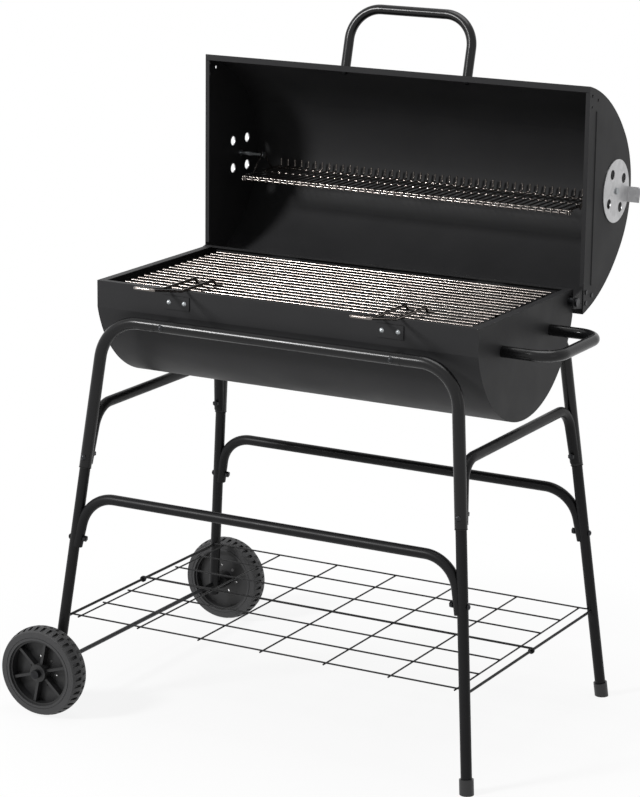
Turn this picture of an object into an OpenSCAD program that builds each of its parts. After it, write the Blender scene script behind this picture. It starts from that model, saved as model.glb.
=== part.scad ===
// Barrel charcoal grill on a tube frame with two wheels, a wire shelf and a hinged lid.
// Millimetres. X runs along the barrel, Y to the back, Z up. The floor is Z = 0.
// The origin is the middle of the whole part's box on the floor, with the lid open.

/* [Barrel] */
// length of the firebox over its end plates
barrel_l = 750; // [500:1:1000]
// half the depth between the flat front and back panels
barrel_half_depth = 190; // [140:1:260]
// radius of the round bottom
barrel_r = 196; // [150:1:270]
// height of the firebox rim over the floor
rim_z = 778; // [600:1:950]
// sheet thickness of shell, end plates and lid
sheet_t = 1.5; // [0.8:0.1:3]
// width of the folded lip along front and back rim
rim_lip = 10; // [5:0.5:20]
// width of the folded lip on the end plates
end_lip = 14; // [5:0.5:25]

/* [Lid] */
// how far the lid reaches past each end of the firebox
lid_overhang = 14; // [12:0.5:30]
// half the depth of the lid at its rim
lid_half_depth = 202; // [150:1:280]
// radius of the crown of the lid
lid_crown_r = 160; // [120:1:220]
// height of the crown's centre over the lid rim
lid_crown_rise = 37; // [0:1:80]
// radius of the flatter front and back of the lid
lid_flank_r = 288; // [230:1:400]
// gap between firebox rim and closed lid rim
lid_seat_gap = 8; // [7:0.5:15]
// width of the folded lip along the lid's front rim
lid_lip = 10; // [5:0.5:20]
// embossed bead on each lid end, distance from the rim
bead_rise = 31; // [15:1:60]
// length of that bead
bead_l = 310; // [100:1:360]
// width of that bead
bead_w = 5; // [3:0.5:8]

/* [Hinge] */
// distance of the hinge pin behind the barrel's middle
hinge_y = 175; // [120:1:240]
// drop of the hinge pin below the firebox rim
hinge_drop = 20; // [10:0.5:40]
// thickness of the hinge arm
arm_t = 3; // [2:0.5:5]
// half width of the hinge arm at its pin
arm_r = 12; // [8:0.5:16]
// diameter of the hinge pin
hinge_pin_d = 8; // [5:0.5:10]
// running clearance of a pin in its hole, on the radius
run_gap = 0.05; // [0.02:0.01:0.1]

/* [Handles] */
// tube diameter of the lid handle
lid_handle_d = 18; // [12:0.5:25]
// spacing of the lid handle's two feet
lid_handle_w = 248; // [150:1:400]
// reach of the lid handle out of the lid, from its feet
lid_handle_reach = 118; // [60:1:160]
// height of the handle's feet over the lid rim
lid_handle_rise = 55; // [30:1:90]
// tilt of the lid handle, towards the lid's top
lid_handle_tilt = 14.5; // [0:0.5:25]
// bend radius of the lid handle
lid_handle_bend = 58; // [30:1:80]
// tube diameter of the side handle
side_handle_d = 20; // [12:0.5:25]
// spacing of the side handle's two feet
side_handle_w = 194; // [120:1:280]
// reach of the side handle from the end plate to its tube's middle
side_handle_reach = 97; // [60:1:140]
// drop of the side handle below the rim
side_handle_drop = 56; // [30:1:90]
// bend radius of the side handle
side_handle_bend = 42; // [30:1:60]

/* [Frame] */
// diameter of the frame tube
tube_d = 22; // [16:0.5:32]
// wall of every tube
tube_wall = 1.2; // [0.8:0.1:2]
// diameter of the braces
brace_d = 19; // [14:0.5:26]
// distance of the top rails from the middle plane
rail_y = 208; // [160:1:280]
// height of the top rails
rail_z = 714; // [500:1:850]
// half the length of the straight top rail
rail_half_l = 242; // [150:1:280]
// where each leg's line meets its rail's line, from the middle
corner_x = 346.3; // [280:1:450]
// how far a leg leans out along X on its way to the floor
leg_lean_x = 72; // [20:1:120]
// how far a leg leans out along Y on its way to the floor
leg_lean_y = 74.6; // [20:1:120]
// bend radius of the upper legs
leg_bend = 76; // [40:1:100]
// height of the joint between upper and lower leg
leg_joint_z = 447; // [420:1:455]
// length of the lower leg that sits inside the upper one
leg_socket = 45; // [25:1:80]
// gap on the radius between a tube and the tube around it
slip_gap = 0.1; // [0.05:0.01:0.3]
// height of the front and back braces
long_brace_z = 395; // [370:1:410]
// bend radius of the front and back braces
long_brace_bend = 65; // [40:1:75]
// height of the lower ends of the front and back braces
long_brace_end_z = 303; // [280:1:312]
// height of the bolts through the front and back braces
long_bolt_z = 317; // [313:1:325]
// height of the side braces
side_brace_z = 555; // [540:1:558]
// bend radius of the side braces
side_brace_bend = 45; // [30:1:55]
// height of the lower ends of the side braces
side_brace_end_z = 453; // [450:1:458]
// height of the bolts through the side braces
side_bolt_z = 466; // [464:1:475]

/* [Fasteners] */
// thread diameter of the frame bolts
bolt_d = 6; // [4:0.5:8]
// clearance of a bolt in its hole, on the radius
bolt_gap = 0.2; // [0.1:0.05:0.5]
// head diameter of the frame bolts
bolt_head_d = 11; // [8:0.5:14]
// head height of the frame bolts
bolt_head_h = 3.5; // [2:0.5:5]
// width over the flats of the nuts
nut_w = 10; // [7:0.5:13]
// height of the nuts
nut_h = 5; // [3:0.5:7]
// distance of the rail bolts from the middle
rail_bolt_x = 226; // [100:1:235]
// outer diameter of the spacers between rail and barrel
spacer_d = 14; // [10:0.5:20]

/* [Wheels] */
// overall diameter of the wheels
wheel_d = 164; // [120:1:220]
// width of the tyres
tyre_w = 42; // [25:1:60]
// diameter of the rim inside the tyre
rim_d = 122; // [80:1:150]
// distance of the wheels' outer faces from the middle plane
wheel_face_y = 341; // [325:1:400]
// diameter of the axle
axle_d = 8; // [6:0.5:12]
// outer diameter of the hub
hub_d = 32; // [20:1:45]
// length of the hub
hub_l = 48; // [42:1:60]
// thickness of the wheel's dished web
web_t = 5; // [3:0.5:8]
// number of spokes
spokes = 6; // [4:1:8]
// number of tread lugs around the tyre
lugs = 38; // [24:1:48]
// depth of the tread
lug_h = 4; // [2:0.5:6]
// lower end of the wheel-side legs
wheel_leg_end_z = 62; // [55:1:72]

/* [Shelf] */
// height of the wire shelf
shelf_z = 172; // [120:1:250]
// spacing of the shelf's lengthwise wires
shelf_pitch_y = 84; // [50:1:110]
// spacing of the shelf's crosswise wires
shelf_pitch_x = 126; // [80:1:180]
// wire diameter of the shelf
shelf_wire_d = 3; // [2:0.5:5]
// diameter of the side rods that carry the shelf
rod_d = 5; // [4:0.5:8]
// gap between the shelf's eyes and the side rods
eye_gap = 0.3; // [0.2:0.1:2]

/* [Grates] */
// wire diameter of the cooking grate
grate_wire_d = 3.5; // [2:0.5:5]
// spacing of the cooking grate's wires
grate_pitch = 21; // [12:0.5:30]
// number of long wires of the cooking grate
grate_wires = 17; // [9:2:25]
// length of the cooking grate
grate_l = 686; // [400:1:720]
// depth of the cooking grate's wires below the rim
grate_drop = 7; // [5:0.5:15]
// spacing of the wires under the cooking grate
cross_pitch = 210; // [120:1:260]
// shift of those wires towards the wheels
cross_shift = 9; // [0:1:20]
// distance of each grate handle from the middle
grate_handle_x = 210; // [120:1:300]
// width of a grate handle
grate_handle_w = 38; // [25:1:60]
// wire diameter of a grate handle
grate_handle_d = 5; // [3:0.5:6]
// where a grate handle starts, from the middle plane
grate_handle_in = 98; // [60:1:130]
// where a grate handle ends, from the middle plane
grate_handle_out = 300; // [240:1:340]
// rise of a grate handle's tip over the rim
grate_handle_tip = 22; // [5:1:40]
// wire diameter of the charcoal grate
coal_wire_d = 5; // [3:0.5:8]
// height of the charcoal grate below the rim
coal_drop = 118; // [90:1:135]
// half the depth of the charcoal grate
coal_half_depth = 138; // [90:1:145]
// length of the charcoal grate
coal_l = 680; // [400:1:720]
// spacing of the charcoal grate's bars
coal_pitch = 28; // [20:1:50]
// gap between a grate and what it rests on
seat_gap = 0.3; // [0.1:0.1:1]
// width of the brackets that carry the cooking grate
bracket_w = 52; // [30:1:80]
// height of those brackets
bracket_h = 24; // [20:1:40]
// drop of those brackets' middles below the rim
bracket_drop = 23; // [18:0.5:30]
// thickness of those brackets
bracket_t = 2; // [1.5:0.5:4]
// spacing of the two bolts in a bracket
bracket_bolt_w = 31; // [18:1:60]
// bolt diameter of a bracket
bracket_bolt_d = 5; // [3:0.5:6]
// head diameter of a bracket bolt
bracket_head_d = 9; // [6:0.5:12]

/* [Vents and rack] */
// height of the vents over the closed lid rim
vent_rise = 127; // [80:1:150]
// diameter of a vent disc
vent_disc_d = 114; // [80:1:130]
// thickness of a vent disc
vent_disc_t = 1.5; // [1:0.1:3]
// diameter of the vent holes
vent_hole_d = 18; // [8:0.5:24]
// distance of the vent holes from the vent's middle
vent_hole_r = 37; // [25:0.5:42]
// length of the tab bent out of a vent disc
vent_tab_l = 24; // [10:1:35]
// width of that tab
vent_tab_w = 28; // [15:1:40]
// how far the right vent disc is turned towards closed at rest
vent_turn = 14; // [0:1:40]
// gap between a vent disc and the lid end
vent_gap = 0.3; // [0.1:0.1:1]
// diameter of the vent pins, which also carry the rack
vent_pin_d = 6; // [4:0.5:10]
// wire diameter of the warming rack
rack_wire_d = 3; // [2:0.5:5]
// length of the warming rack
rack_l = 676; // [400:1:720]
// spacing of the rack's crosswise wires
rack_pitch = 15; // [10:0.5:30]
// depth of the rack in front of its pins
rack_front = 80; // [40:1:95]
// depth of the rack behind its pins
rack_back = 58; // [30:1:62]
// depth of the rack's wires below its pins
rack_drop = 28; // [15:1:40]
// rise of the rack's turned-up ends
rack_comb = 14; // [5:1:20]

/* [Hidden] */
$fn = 48;
gap_through = 1;
hair = 0.05;
bend_step = 0.01;

lid_rim_z = rim_z + lid_seat_gap;
hinge_z = rim_z - hinge_drop;
lid_l = barrel_l + 2 * lid_overhang;
arm_x = lid_l / 2 - sheet_t - arm_t;
lower_leg_d = tube_d - 2 * tube_wall - 2 * slip_gap;
lean_x = leg_lean_x / rail_z;
lean_y = leg_lean_y / rail_z;
axle_x = corner_x + lean_x * (rail_z - wheel_d / 2);
axle_z = wheel_d / 2;
vent_z = lid_rim_z + vent_rise;
grate_z = rim_z - grate_drop;
coal_z = rim_z - coal_drop;
grate_reach = grate_pitch * (grate_wires - 1) / 2;
ledge_z = grate_z - grate_wire_d / 2 - seat_gap;
bracket_z = rim_z - bracket_drop;
weld_sink = 0.4;
small_head = 1.5;
small_nut = 1.8;
foot_cap_d = 25;
foot_cap_h = 26;
foot_floor_t = 4;
axle_cap_wall = 1.1;
box_left = -axle_x - wheel_d / 2;
box_right = barrel_l / 2 + side_handle_reach + side_handle_d / 2;
box_front = -wheel_face_y - axle_d - axle_cap_wall;
box_back = hinge_y + lid_rim_z + lid_crown_rise + lid_crown_r - hinge_z;
frame_shift = -[box_left + box_right, box_front + box_back, 0] / 2;

module in_frame() {
  translate(frame_shift)
    children();
}

// ---- points and directions ----

// A leg's middle line at height z, in the corner given by its signs.
function leg_at(side, face, z) = [
  side * (corner_x + lean_x * (rail_z - z)),
  face * (rail_y + lean_y * (rail_z - z)),
  z
];
function unit(v) = v / norm(v);
function turn(points, i) =
  acos(unit(points[i] - points[i - 1]) * unit(points[i + 1] - points[i]));
function cut_back(points, i, radius) =
  i == 0 || i == len(points) - 1 ? 0 : radius * tan(turn(points, i) / 2);
function longer(points, extra) = [
  for (i = [0 : len(points) - 1])
    i == 0 ? points[0] - extra * unit(points[1] - points[0])
    : i == len(points) - 1 ? points[i] + extra * unit(points[i] - points[i - 1])
    : points[i]
];

// A straight bar from one point to another.
module bar(start, end, d) {
  along = end - start;
  translate(start)
    rotate([0, acos(along[2] / norm(along)), atan2(along[1], along[0])])
      cylinder(d = d, h = norm(along));
}

// Which way the path turns at a corner, square to the way it comes in.
function turn_side(points, i) =
  let (way_in = unit(points[i] - points[i - 1]), way_out = unit(points[i + 1] - points[i]))
    unit(way_out - way_in * (way_out * way_in));

// A bend is one step thinner than the straights, and their ends lap a little way over it.
// A path of right angles can do without, because its bends meet the straights exactly.
function lap(points, i, radius, step) =
  i == 0 || i == len(points) - 1 ? 0
  : min(sqrt(radius * step), cut_back(points, i, radius) / 2);
module bend(radius, d, angle) {
  rotate([0, 0, -90])
    rotate_extrude(angle = angle)
      translate([radius, 0])
        circle(d = d);
}
// One straight stretch and the bend after it, and so on to the path's end. Each stretch is
// drawn from the end of the one before, along X, with the side vector along Y.
module bent_run(points, radius, d, i, side, step) {
  way = unit(points[i + 1] - points[i]);
  straight = norm(points[i + 1] - points[i]) - cut_back(points, i, radius) - cut_back(points, i + 1, radius);
  behind = lap(points, i, radius, step);
  ahead = lap(points, i + 1, radius, step);
  translate([-behind, 0, 0])
    rotate([0, 90, 0])
      cylinder(d = d, h = behind + straight + ahead);
  if (i < len(points) - 2) {
    next_side = turn_side(points, i + 1);
    angle = turn(points, i + 1);
    roll = atan2(next_side * cross(way, side), next_side * side);
    translate([straight, 0, 0])
      rotate([roll, 0, 0])
        translate([0, radius, 0]) {
          bend(radius, d - 2 * step, angle);
          rotate([0, 0, angle])
            translate([0, -radius, 0])
              bent_run(points, radius, d, i + 1, next_side * cos(angle) - way * sin(angle), step);
        }
  }
}
// A round bar through three or more points, bent to one radius at each corner.
module bent_bar(points, radius, d, step = bend_step) {
  way = unit(points[1] - points[0]);
  side = turn_side(points, 1);
  pole = cross(way, side);
  multmatrix([
    [way[0], side[0], pole[0], points[0][0]],
    [way[1], side[1], pole[1], points[0][1]],
    [way[2], side[2], pole[2], points[0][2]],
    [0, 0, 0, 1]
  ])
    bent_run(points, radius, d, 0, side, step);
}

// The same path as a hollow tube, open at both ends.
module bent_tube(points, radius, d) {
  difference() {
    bent_bar(points, radius, d);
    bent_bar(longer(points, gap_through), radius, d - 2 * tube_wall);
  }
}
module straight_tube(start, end, d) {
  ends = longer([start, end], gap_through);
  difference() {
    bar(start, end, d);
    bar(ends[0], ends[1], d - 2 * tube_wall);
  }
}

// A flat outline drawn in Y and Z, made as long as asked along X.
module along_x(length) {
  translate([-length / 2, 0, 0])
    rotate([90, 0, 90])
      linear_extrude(height = length)
        children();
}
module both_sides() {
  children();
  mirror([1, 0, 0])
    children();
}
module both_faces() {
  children();
  mirror([0, 1, 0])
    children();
}
module across_x(d, h) {
  rotate([0, 90, 0])
    cylinder(d = d, h = h, center = true);
}
module across_y(d, h) {
  rotate([90, 0, 0])
    cylinder(d = d, h = h, center = true);
}

// ---- firebox ----

module firebox_outline(inset) {
  intersection() {
    translate([0, rim_z])
      circle(r = barrel_r - inset);
    translate([-barrel_half_depth + inset, rim_z - barrel_r])
      square([2 * (barrel_half_depth - inset), barrel_r]);
  }
}
module firebox_shell() {
  color("#2c2c2e")
    in_frame()
    difference() {
      union() {
        along_x(barrel_l - 2 * sheet_t)
          difference() {
            firebox_outline(0);
            firebox_outline(sheet_t);
          }
        both_faces()
          translate([0, -barrel_half_depth + rim_lip / 2, rim_z - sheet_t / 2])
            cube([barrel_l - 2 * sheet_t, rim_lip, sheet_t], center = true);
      }
      rail_bolt_holes();
      bracket_bolt_holes();
    }
}
module firebox_end() {
  difference() {
    union() {
      translate([barrel_l / 2 - sheet_t / 2, 0, 0])
        along_x(sheet_t)
          firebox_outline(0);
      translate([barrel_l / 2 - end_lip, -barrel_half_depth + rim_lip, rim_z - sheet_t])
        cube([end_lip, 2 * (barrel_half_depth - rim_lip), sheet_t]);
    }
    translate([barrel_l / 2, hinge_y, hinge_z])
      across_x(hinge_pin_d + 2 * bolt_gap, 4 * sheet_t);
  }
}
module firebox_end_left() {
  color("#303032")
    in_frame()
    mirror([1, 0, 0])
      firebox_end();
}
module firebox_end_right() {
  color("#303032")
    in_frame()
    difference() {
      firebox_end();
      side_handle_bolt_holes();
    }
}

// ---- frame ----

module front_rail() {
  color("#242426")
    in_frame()
    top_rail();
}
module rear_rail() {
  color("#242426")
    in_frame()
    mirror([0, 1, 0])
      top_rail();
}
module top_rail() {
  difference() {
    straight_tube([-rail_half_l, -rail_y, rail_z], [rail_half_l, -rail_y, rail_z], tube_d);
    rail_bolt_holes();
  }
}
// The swaged neck of an upper leg is pushed into the top rail.
module upper_leg() {
  neck_d = tube_d - 2 * tube_wall - 2 * slip_gap;
  start_x = rail_half_l + seat_gap;
  neck_end = [rail_half_l - leg_socket, -rail_y, rail_z];
  bore_start = [start_x + leg_socket / 2, -rail_y, rail_z];
  corner = [corner_x, -rail_y, rail_z];
  leg_end = leg_at(1, -1, leg_joint_z);
  difference() {
    union() {
      bent_bar([[start_x, -rail_y, rail_z], corner, leg_end], leg_bend, tube_d);
      bar(neck_end, [start_x + gap_through, -rail_y, rail_z], neck_d);
    }
    bent_bar([bore_start, corner, leg_at(1, -1, leg_joint_z - gap_through)],
             leg_bend, tube_d - 2 * tube_wall);
    bar(neck_end - [gap_through, 0, 0], bore_start + [gap_through, 0, 0], neck_d - 2 * tube_wall);
    rail_bolt_holes();
    side_bolt_holes();
  }
}
module upper_leg_front_left() {
  color("#29292b")
    in_frame()
    mirror([1, 0, 0])
      upper_leg();
}
module upper_leg_front_right() {
  color("#29292b")
    in_frame()
    upper_leg();
}
module upper_leg_rear_left() {
  color("#29292b")
    in_frame()
    mirror([1, 0, 0])
      mirror([0, 1, 0])
        upper_leg();
}
module upper_leg_rear_right() {
  color("#29292b")
    in_frame()
    mirror([0, 1, 0])
      upper_leg();
}
module lower_leg(end_z) {
  difference() {
    straight_tube(leg_at(1, -1, leg_joint_z + leg_socket), leg_at(1, -1, end_z), lower_leg_d);
    side_bolt_holes();
    long_bolt_holes();
    rod_holes();
    hook_holes();
  }
}
module wheel_leg() {
  difference() {
    mirror([1, 0, 0])
      lower_leg(wheel_leg_end_z);
    translate([-axle_x, 0, axle_z])
      across_y(axle_d + 2 * bolt_gap, 2 * wheel_face_y);
  }
}
module lower_leg_front_left() {
  color("#29292b")
    in_frame()
    wheel_leg();
}
module lower_leg_front_right() {
  color("#29292b")
    in_frame()
    lower_leg(foot_floor_t);
}
module lower_leg_rear_left() {
  color("#29292b")
    in_frame()
    mirror([0, 1, 0])
      wheel_leg();
}
module lower_leg_rear_right() {
  color("#29292b")
    in_frame()
    mirror([0, 1, 0])
      lower_leg(foot_floor_t);
}
module foot_caps() {
  color("#1d1d1e")
    in_frame()
      both_faces()
        difference() {
          bar(leg_at(1, -1, foot_cap_h), leg_at(1, -1, -foot_cap_d), foot_cap_d);
          bar(leg_at(1, -1, foot_floor_t), leg_at(1, -1, 2 * foot_cap_h), lower_leg_d + 2 * slip_gap);
          translate(leg_at(1, -1, -foot_cap_d))
            cube([2 * foot_cap_d, 2 * foot_cap_d, 2 * foot_cap_d], center = true);
        }
}

// Braces lie against the legs, on their inner side.
long_offset = ((lower_leg_d + brace_d) / 2 + hair) / cos(atan(lean_x));
side_offset = ((tube_d + brace_d) / 2 + hair) / cos(atan(lean_y));

module long_brace() {
  inward = [long_offset, 0, 0];
  difference() {
    bent_tube([
      leg_at(-1, -1, long_brace_end_z) + inward,
      leg_at(-1, -1, long_brace_z) + inward,
      leg_at(1, -1, long_brace_z) - inward,
      leg_at(1, -1, long_brace_end_z) - inward
    ], long_brace_bend, brace_d);
    long_bolt_holes();
  }
}
module side_brace() {
  inward = [0, side_offset, 0];
  difference() {
    bent_tube([
      leg_at(1, -1, side_brace_end_z) + inward,
      leg_at(1, -1, side_brace_z) + inward,
      leg_at(1, 1, side_brace_z) - inward,
      leg_at(1, 1, side_brace_end_z) - inward
    ], side_brace_bend, brace_d);
    side_bolt_holes();
  }
}
module front_brace() {
  color("#2b2a2b")
    in_frame()
    long_brace();
}
module rear_brace() {
  color("#2b2a2b")
    in_frame()
    mirror([0, 1, 0])
      long_brace();
}
module left_brace() {
  color("#2b2a2b")
    in_frame()
    mirror([1, 0, 0])
      side_brace();
}
module right_brace() {
  color("#2b2a2b")
    in_frame()
    side_brace();
}

// ---- bolts of the frame ----

// Each bolt runs from the underside of its head to the face of its nut.
head_lift = 0.8;
rail_bolt = [
  [rail_bolt_x, -rail_y - tube_d / 2 - hair, rail_z],
  [rail_bolt_x, -sqrt(pow(barrel_r - sheet_t, 2) - pow(rim_z - rail_z, 2)) + 3 * head_lift, rail_z]
];
side_bolt = [
  leg_at(1, -1, side_bolt_z) - [0, tube_d / 2 + head_lift, 0],
  leg_at(1, -1, side_bolt_z) + [0, side_offset + brace_d / 2 + head_lift, 0]
];
long_bolt = [
  leg_at(1, -1, long_bolt_z) + [lower_leg_d / 2 + head_lift, 0, 0],
  leg_at(1, -1, long_bolt_z) - [long_offset + brace_d / 2 + head_lift, 0, 0]
];
module four_corners() {
  both_sides()
    both_faces()
      children();
}
module bolt_hole(ends, d) {
  past = nut_h + 2 * gap_through;
  bar(longer(ends, past)[0], longer(ends, past)[1], d + 2 * bolt_gap);
}
module rail_bolt_holes() {
  four_corners()
    bolt_hole(rail_bolt, bolt_d);
}
module side_bolt_holes() {
  four_corners()
    bolt_hole(side_bolt, bolt_d);
}
module long_bolt_holes() {
  four_corners()
    bolt_hole(long_bolt, bolt_d);
}
// A low domed head, its flat side on the start point, facing back along the bolt.
module pan_head(ends, head_d, head_h) {
  along = unit(ends[1] - ends[0]);
  translate(ends[0])
    rotate([0, acos(along[2]), atan2(along[1], along[0])])
      mirror([0, 0, 1])
        rotate_extrude()
          intersection() {
            dome_r = (head_d * head_d / 4 + head_h * head_h) / (2 * head_h);
            translate([0, head_h - dome_r])
              circle(r = dome_r);
            square([head_d, head_h]);
          }
}
module bolt(ends, d, head_d, head_h) {
  tip = longer(ends, nut_h + gap_through)[1];
  pan_head(ends, head_d, head_h);
  bar(ends[0], tip, d);
}
module nut(ends, d) {
  along = unit(ends[1] - ends[0]);
  translate(ends[1])
    rotate([0, acos(along[2]), atan2(along[1], along[0])])
      difference() {
        cylinder(d = nut_w / cos(30), h = nut_h, $fn = 6);
        translate([0, 0, -gap_through])
          cylinder(d = d + 2 * hair, h = nut_h + 2 * gap_through);
      }
}
module frame_bolts() {
  color("#3a3a3c")
    in_frame()
    four_corners() {
      bolt(rail_bolt, bolt_d, bolt_head_d, bolt_head_h);
      bolt(side_bolt, bolt_d, bolt_head_d, bolt_head_h);
      bolt(long_bolt, bolt_d, bolt_head_d, bolt_head_h);
    }
}
module frame_nuts() {
  color("#3a3a3c")
    in_frame()
    four_corners() {
      nut(rail_bolt, bolt_d);
      nut(side_bolt, bolt_d);
      nut(long_bolt, bolt_d);
    }
}
// Sleeves that hold the barrel clear of the rails, shaped to both.
module rail_spacers() {
  color("#1f1f20")
    in_frame()
    four_corners()
      difference() {
        translate([rail_bolt_x, 0, rail_z])
          rotate([90, 0, 0])
            cylinder(d = spacer_d, h = rail_y);
        translate([0, -rail_y, rail_z])
          across_x(tube_d + 2 * hair, barrel_l);
        translate([0, 0, rim_z])
          across_x(2 * barrel_r + 2 * hair, barrel_l);
        rail_bolt_holes();
      }
}

// ---- wheels ----

hub_inner_y = wheel_face_y - hub_l;
tyre_y = wheel_face_y - tyre_w / 2;
spoke_turn = 18;
module axle() {
  color("#3b3b3d")
    in_frame()
    translate([-axle_x, 0, axle_z])
      across_y(axle_d, 2 * (wheel_face_y + axle_d));
}
module axle_nuts() {
  color("#2a2a2b")
    in_frame()
    both_faces()
      translate([-axle_x, -wheel_face_y - seat_gap, axle_z])
        rotate([90, 0, 0])
          difference() {
            cylinder(d = 2 * axle_d, h = axle_d + axle_cap_wall - seat_gap);
            translate([0, 0, -gap_through])
              cylinder(d = axle_d + 2 * hair, h = axle_d - seat_gap + gap_through + hair);
          }
}
module axle_spacers() {
  leg_face = -leg_at(-1, -1, axle_z)[1] + lower_leg_d / 2 + head_lift;
  color("#1f1f20")
    in_frame()
    both_faces()
      translate([-axle_x, -leg_face, axle_z])
        rotate([90, 0, 0])
          difference() {
            cylinder(d = 2 * axle_d, h = hub_inner_y - seat_gap - leg_face);
            translate([0, 0, -gap_through])
              cylinder(d = axle_d + 2 * hair, h = hub_inner_y);
          }
}
// Drawn about its own axle, which runs along Z here, the outer face up.
module tyre() {
  step = 360 / lugs;
  groove = 0.42 * PI * wheel_d / lugs;
  difference() {
    rotate_extrude()
      difference() {
        intersection() {
          translate([rim_d / 2, -tyre_w / 2])
            square([(wheel_d - rim_d) / 2, tyre_w]);
          translate([wheel_d / 2 - tyre_w, 0])
            circle(r = tyre_w);
        }
        both_rims()
          translate([rim_d / 2 + lug_h, tyre_w / 2 - head_lift])
            square([2 * head_lift, 2 * head_lift]);
      }
    for (i = [0 : lugs - 1]) {
      rotate(step * i)
        translate([wheel_d / 2 - lug_h, -groove / 2, lug_h / 2])
          cube([wheel_d, groove, tyre_w]);
      rotate(step * (i + 0.5))
        translate([wheel_d / 2 - lug_h, -groove / 2, -tyre_w - lug_h / 2])
          cube([wheel_d, groove, tyre_w]);
    }
  }
}
module both_rims() {
  children();
  mirror([0, 1])
    children();
}
module hub() {
  rim_t = 4;
  spoke_w = 5;
  spoke_h = tyre_w / 3;
  web_hole_r = 26;
  web_hole_d = 6;
  hub_bottom = tyre_w / 2 - hub_l;
  difference() {
    union() {
      rotate_extrude()
        union() {
          translate([rim_d / 2 - rim_t, -tyre_w / 2 + rim_t])
            square([rim_t - hair, tyre_w - 2 * rim_t]);
          translate([0, -web_t])
            square([rim_d / 2 - rim_t / 2, web_t]);
          translate([0, hub_bottom])
            square([hub_d / 2, hub_l]);
        }
      for (i = [0 : spokes - 1])
        rotate(spoke_turn + 360 / spokes * i)
          translate([hub_d / 4, -spoke_w / 2, -hair])
            cube([rim_d / 2 - rim_t / 2 - hub_d / 4, spoke_w, spoke_h]);
    }
    translate([0, 0, hub_bottom - gap_through])
      cylinder(d = axle_d + 2 * run_gap, h = hub_l + 2 * gap_through);
    for (i = [0 : spokes - 1])
      rotate(spoke_turn + 360 / spokes * (i + 0.5))
        translate([web_hole_r, 0, -web_t - gap_through])
          cylinder(d = web_hole_d, h = web_t + 2 * gap_through);
  }
}
// Puts a wheel piece at the front wheel's place.
module at_front_wheel() {
  translate([-axle_x, -tyre_y, axle_z])
    rotate([90, 0, 0])
      children();
}
module wheel_front_tyre() {
  color("#262627")
    in_frame()
    at_front_wheel()
      tyre();
}
module wheel_front_hub() {
  color("#2d2d2e")
    in_frame()
    at_front_wheel()
      hub();
}
module wheel_rear_tyre() {
  color("#262627")
    in_frame()
    mirror([0, 1, 0])
      at_front_wheel()
        tyre();
}
module wheel_rear_hub() {
  color("#2d2d2e")
    in_frame()
    mirror([0, 1, 0])
      at_front_wheel()
        hub();
}

// ---- shelf ----

shelf_reach_x = 3 * shelf_pitch_x;
shelf_reach_y = 3 * shelf_pitch_y;
eye_r = rod_d / 2 + eye_gap + shelf_wire_d / 2;
rod_x = leg_at(1, -1, shelf_z - eye_r)[0];
rod_z = shelf_z - eye_r;
hook_x = rod_x - rod_d;
leg_shelf_y = -leg_at(1, -1, shelf_z)[1];
module rod_holes() {
  four_corners()
    translate([rod_x, -leg_shelf_y, rod_z])
      rotate([-90, 0, 0])
        cylinder(d = rod_d + 2 * bolt_gap, h = lower_leg_d);
}
module hook_holes() {
  four_corners()
    translate([hook_x, -leg_shelf_y, shelf_z])
      rotate([-90, 0, 0])
        cylinder(d = shelf_wire_d + 2 * bolt_gap, h = lower_leg_d);
}
module shelf_rod() {
  translate([rod_x, 0, rod_z])
    across_y(rod_d, 2 * (leg_shelf_y - lower_leg_d / 4));
}
module shelf_rod_left() {
  color("#29292b")
    in_frame()
    mirror([1, 0, 0])
      shelf_rod();
}
module shelf_rod_right() {
  color("#29292b")
    in_frame()
    shelf_rod();
}
module wire_shelf() {
  hook_end = leg_shelf_y - lower_leg_d / 4;
  cross_z = shelf_z - shelf_wire_d + weld_sink;
  wire_past = 4;
  eye_turn = 290;
  color("#29292b")
    in_frame() {
    both_faces()
      bent_bar([
        [-hook_x, -hook_end, shelf_z],
        [-hook_x, -shelf_reach_y, shelf_z],
        [hook_x, -shelf_reach_y, shelf_z],
        [hook_x, -hook_end, shelf_z]
      ], rod_d, shelf_wire_d, 0);
    for (i = [-2, -1, 1, 2])
      translate([0, i * shelf_pitch_y, shelf_z])
        across_x(shelf_wire_d, 2 * (shelf_reach_x + wire_past));
    for (side = [-1, 1])
      translate([0, side * (shelf_wire_d + hair) / 2, 0]) {
        translate([0, 0, shelf_z])
          across_x(shelf_wire_d, 2 * (rod_x + sqrt(eye_r * bend_step)));
        both_sides()
          translate([rod_x, 0, rod_z])
            rotate([-90, 0, 0])
              bend(eye_r, shelf_wire_d - 2 * bend_step, eye_turn);
      }
    for (i = [-3 : 3])
      translate([i * shelf_pitch_x, 0, cross_z])
        across_y(shelf_wire_d, 2 * (shelf_reach_y + wire_past));
  }
}

// ---- side handle ----

side_handle_z = rim_z - side_handle_drop;
side_handle_feet = [
  [barrel_l / 2, -side_handle_w / 2, side_handle_z],
  [barrel_l / 2 + side_handle_reach, -side_handle_w / 2, side_handle_z],
  [barrel_l / 2 + side_handle_reach, side_handle_w / 2, side_handle_z],
  [barrel_l / 2, side_handle_w / 2, side_handle_z]
];
plug_l = 16;
side_handle_bolt = [
  [barrel_l / 2 - sheet_t - hair, -side_handle_w / 2, side_handle_z],
  [barrel_l / 2 + plug_l - nut_h - 3 * gap_through, -side_handle_w / 2, side_handle_z]
];
module side_handle_bolt_holes() {
  both_faces()
    bolt_hole(side_handle_bolt, bolt_d);
}
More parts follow.
